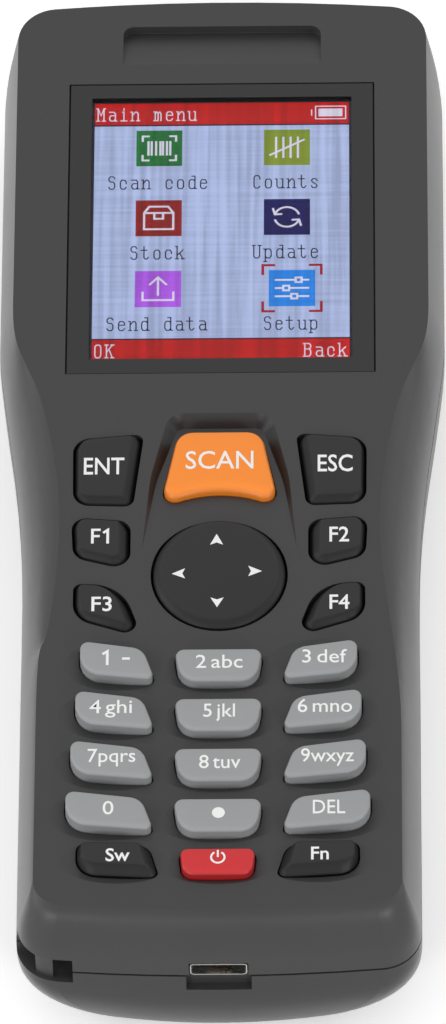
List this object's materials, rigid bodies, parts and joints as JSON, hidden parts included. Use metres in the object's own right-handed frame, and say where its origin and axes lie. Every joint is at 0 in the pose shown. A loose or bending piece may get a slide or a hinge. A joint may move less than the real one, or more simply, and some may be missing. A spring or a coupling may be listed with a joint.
{
  "type": "portable barcode data terminal",
  "caption": "Hand-held barcode data terminal with a colour display, scan key, direction pad and phone-style keypad on a pinched, two-shell housing.",
  "frame": {"origin": "under the middle of the body, on the plane that the back rests on", "axes": "+Z out of the face with the keys, +Y to the scanning end, +X to the right of someone reading the display"},
  "size_m": [0.061, 0.156, 0.0281],
  "materials": {
    "housing_plastic": "fine spark texture",
    "black_key": "satin",
    "number_key": "satin",
    "scan_key": "satin",
    "power_key": "satin",
    "display_lens": "gloss",
    "lcd": "lit panel",
    "scan_window": "gloss",
    "clear_lens": "gloss",
    "silicone": "matt",
    "foam": "matt",
    "inner_plastic": "matt",
    "sheet_steel": "bright",
    "screw_steel": "black zinc",
    "contact_gold": "gold plate",
    "circuit_board": "solder mask",
    "flex": "polyimide",
    "battery_foil": "foil pouch",
    "lead_insulation": "wire insulation"
  },
  "bodies": {
    "housing": {"front_housing": "housing_plastic", "rear_housing": "housing_plastic", "lanyard_bar": "housing_plastic", "display_lens": "display_lens", "usb_shell": "sheet_steel", "scan_window": "scan_window", "housing_screws": "screw_steel", "display_gasket": "foam", "lcd_panel": "lcd", "backlight_frame": "sheet_steel", "display_carrier": "inner_plastic", "display_flex": "flex", "keypad_mat": "silicone", "dome_sheet": "sheet_steel", "main_board": "circuit_board", "board_chips": "inner_plastic", "radio_module": "sheet_steel", "buzzer": "inner_plastic", "board_screws": "screw_steel", "usb_tongue": "inner_plastic", "usb_contacts": "contact_gold", "scan_engine": "inner_plastic", "engine_lens": "clear_lens", "engine_aimers": "inner_plastic", "engine_bracket": "sheet_steel", "bracket_screws": "screw_steel", "engine_flex": "flex", "battery_pad": "foam", "battery_cell": "battery_foil", "battery_connector": "inner_plastic", "battery_leads": "lead_insulation"},
    "enter_key": {"key_enter": "black_key"},
    "escape_key": {"key_escape": "black_key"},
    "f1_key": {"key_f1": "black_key"},
    "f2_key": {"key_f2": "black_key"},
    "f3_key": {"key_f3": "black_key"},
    "f4_key": {"key_f4": "black_key"},
    "switch_key": {"key_switch": "black_key"},
    "power_key": {"key_power": "power_key"},
    "function_key": {"key_function": "black_key"},
    "0_key": {"key_0": "number_key"},
    "1_key": {"key_1": "number_key"},
    "2_key": {"key_2": "number_key"},
    "3_key": {"key_3": "number_key"},
    "4_key": {"key_4": "number_key"},
    "5_key": {"key_5": "number_key"},
    "6_key": {"key_6": "number_key"},
    "7_key": {"key_7": "number_key"},
    "8_key": {"key_8": "number_key"},
    "9_key": {"key_9": "number_key"},
    "dot_key": {"key_dot": "number_key"},
    "delete_key": {"key_delete": "number_key"},
    "scan_key": {"key_scan": "scan_key"},
    "pad_pivot": {"direction_pivot": "inner_plastic"},
    "pad": {"direction_pad": "black_key"}
  },
  "joints": [
    {"name": "enter_press", "type": "slide", "parent": "housing", "child": "enter_key", "axis": [0, 0, -1], "range_m": [0, 0.0004], "stiffness_N_per_m": 4000, "deforming": ["keypad_mat"]},
    {"name": "escape_press", "type": "slide", "parent": "housing", "child": "escape_key", "axis": [0, 0, -1], "range_m": [0, 0.0004], "stiffness_N_per_m": 4000, "deforming": ["keypad_mat"]},
    {"name": "f1_press", "type": "slide", "parent": "housing", "child": "f1_key", "axis": [0, 0, -1], "range_m": [0, 0.0004], "stiffness_N_per_m": 4000, "deforming": ["keypad_mat"]},
    {"name": "f2_press", "type": "slide", "parent": "housing", "child": "f2_key", "axis": [0, 0, -1], "range_m": [0, 0.0004], "stiffness_N_per_m": 4000, "deforming": ["keypad_mat"]},
    {"name": "f3_press", "type": "slide", "parent": "housing", "child": "f3_key", "axis": [0, 0, -1], "range_m": [0, 0.0004], "stiffness_N_per_m": 4000, "deforming": ["keypad_mat"]},
    {"name": "f4_press", "type": "slide", "parent": "housing", "child": "f4_key", "axis": [0, 0, -1], "range_m": [0, 0.0004], "stiffness_N_per_m": 4000, "deforming": ["keypad_mat"]},
    {"name": "switch_press", "type": "slide", "parent": "housing", "child": "switch_key", "axis": [0, 0, -1], "range_m": [0, 0.0004], "stiffness_N_per_m": 4000, "deforming": ["keypad_mat"]},
    {"name": "power_press", "type": "slide", "parent": "housing", "child": "power_key", "axis": [0, 0, -1], "range_m": [0, 0.0004], "stiffness_N_per_m": 4000, "deforming": ["keypad_mat"]},
    {"name": "function_press", "type": "slide", "parent": "housing", "child": "function_key", "axis": [0, 0, -1], "range_m": [0, 0.0004], "stiffness_N_per_m": 4000, "deforming": ["keypad_mat"]},
    {"name": "0_press", "type": "slide", "parent": "housing", "child": "0_key", "axis": [0, 0, -1], "range_m": [0, 0.0004], "stiffness_N_per_m": 4000, "deforming": ["keypad_mat"]},
    {"name": "1_press", "type": "slide", "parent": "housing", "child": "1_key", "axis": [0, 0, -1], "range_m": [0, 0.0004], "stiffness_N_per_m": 4000, "deforming": ["keypad_mat"]},
    {"name": "2_press", "type": "slide", "parent": "housing", "child": "2_key", "axis": [0, 0, -1], "range_m": [0, 0.0004], "stiffness_N_per_m": 4000, "deforming": ["keypad_mat"]},
    {"name": "3_press", "type": "slide", "parent": "housing", "child": "3_key", "axis": [0, 0, -1], "range_m": [0, 0.0004], "stiffness_N_per_m": 4000, "deforming": ["keypad_mat"]},
    {"name": "4_press", "type": "slide", "parent": "housing", "child": "4_key", "axis": [0, 0, -1], "range_m": [0, 0.0004], "stiffness_N_per_m": 4000, "deforming": ["keypad_mat"]},
    {"name": "5_press", "type": "slide", "parent": "housing", "child": "5_key", "axis": [0, 0, -1], "range_m": [0, 0.0004], "stiffness_N_per_m": 4000, "deforming": ["keypad_mat"]},
    {"name": "6_press", "type": "slide", "parent": "housing", "child": "6_key", "axis": [0, 0, -1], "range_m": [0, 0.0004], "stiffness_N_per_m": 4000, "deforming": ["keypad_mat"]},
    {"name": "7_press", "type": "slide", "parent": "housing", "child": "7_key", "axis": [0, 0, -1], "range_m": [0, 0.0004], "stiffness_N_per_m": 4000, "deforming": ["keypad_mat"]},
    {"name": "8_press", "type": "slide", "parent": "housing", "child": "8_key", "axis": [0, 0, -1], "range_m": [0, 0.0004], "stiffness_N_per_m": 4000, "deforming": ["keypad_mat"]},
    {"name": "9_press", "type": "slide", "parent": "housing", "child": "9_key", "axis": [0, 0, -1], "range_m": [0, 0.0004], "stiffness_N_per_m": 4000, "deforming": ["keypad_mat"]},
    {"name": "dot_press", "type": "slide", "parent": "housing", "child": "dot_key", "axis": [0, 0, -1], "range_m": [0, 0.0004], "stiffness_N_per_m": 4000, "deforming": ["keypad_mat"]},
    {"name": "delete_press", "type": "slide", "parent": "housing", "child": "delete_key", "axis": [0, 0, -1], "range_m": [0, 0.0004], "stiffness_N_per_m": 4000, "deforming": ["keypad_mat"]},
    {"name": "scan_press", "type": "slide", "parent": "housing", "child": "scan_key", "axis": [0, 0, -1], "range_m": [0, 0.0004], "stiffness_N_per_m": 4000, "deforming": ["keypad_mat"]},
    {"name": "pad_rock_up_down", "type": "hinge", "parent": "housing", "child": "pad_pivot", "pos_m": [0, -0.0202, 0.023], "axis": [1, 0, 0], "range_deg": [-2, 2], "stiffness_Nm_per_rad": 0.35, "deforming": ["keypad_mat"]},
    {"name": "pad_rock_left_right", "type": "hinge", "parent": "pad_pivot", "child": "pad", "pos_m": [0, -0.0202, 0.023], "axis": [0, 1, 0], "range_deg": [-2, 2], "stiffness_Nm_per_rad": 0.35, "deforming": ["keypad_mat"]}
  ]
}
